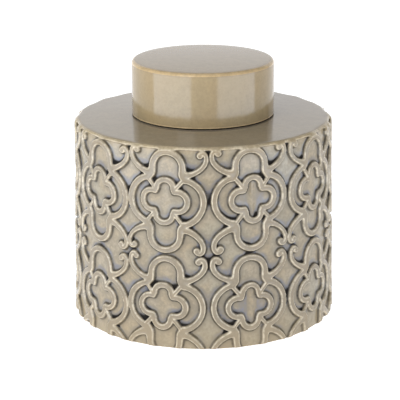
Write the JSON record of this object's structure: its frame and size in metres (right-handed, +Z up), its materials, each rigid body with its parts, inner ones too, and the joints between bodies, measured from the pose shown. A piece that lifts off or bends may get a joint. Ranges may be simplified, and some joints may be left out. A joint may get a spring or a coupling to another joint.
{
  "type": "lidded jar",
  "caption": "Squat round jar in glazed ceramic with arched strapwork in relief on its wall, closed by a plain drum-shaped cap lid that lifts off.",
  "frame": {"origin": "centre of the foot, on the surface that the jar stands on", "axes": "+Z up along the axis of the jar and its lid, -Y towards the camera of the picture"},
  "size_m": [0.21, 0.2102, 0.2057],
  "materials": {
    "jar_glaze": "glossy beige glaze that pools grey in the recesses",
    "lid_glaze": "glossy beige glaze, smooth"
  },
  "bodies": {
    "jar": {"jar": "jar_glaze"},
    "lid": {"lid": "lid_glaze"}
  },
  "joints": [
    {"name": "lid_lift", "type": "slide", "parent": "jar", "child": "lid", "axis": [0, 0, 1], "range_m": [0, 0.08]}
  ]
}
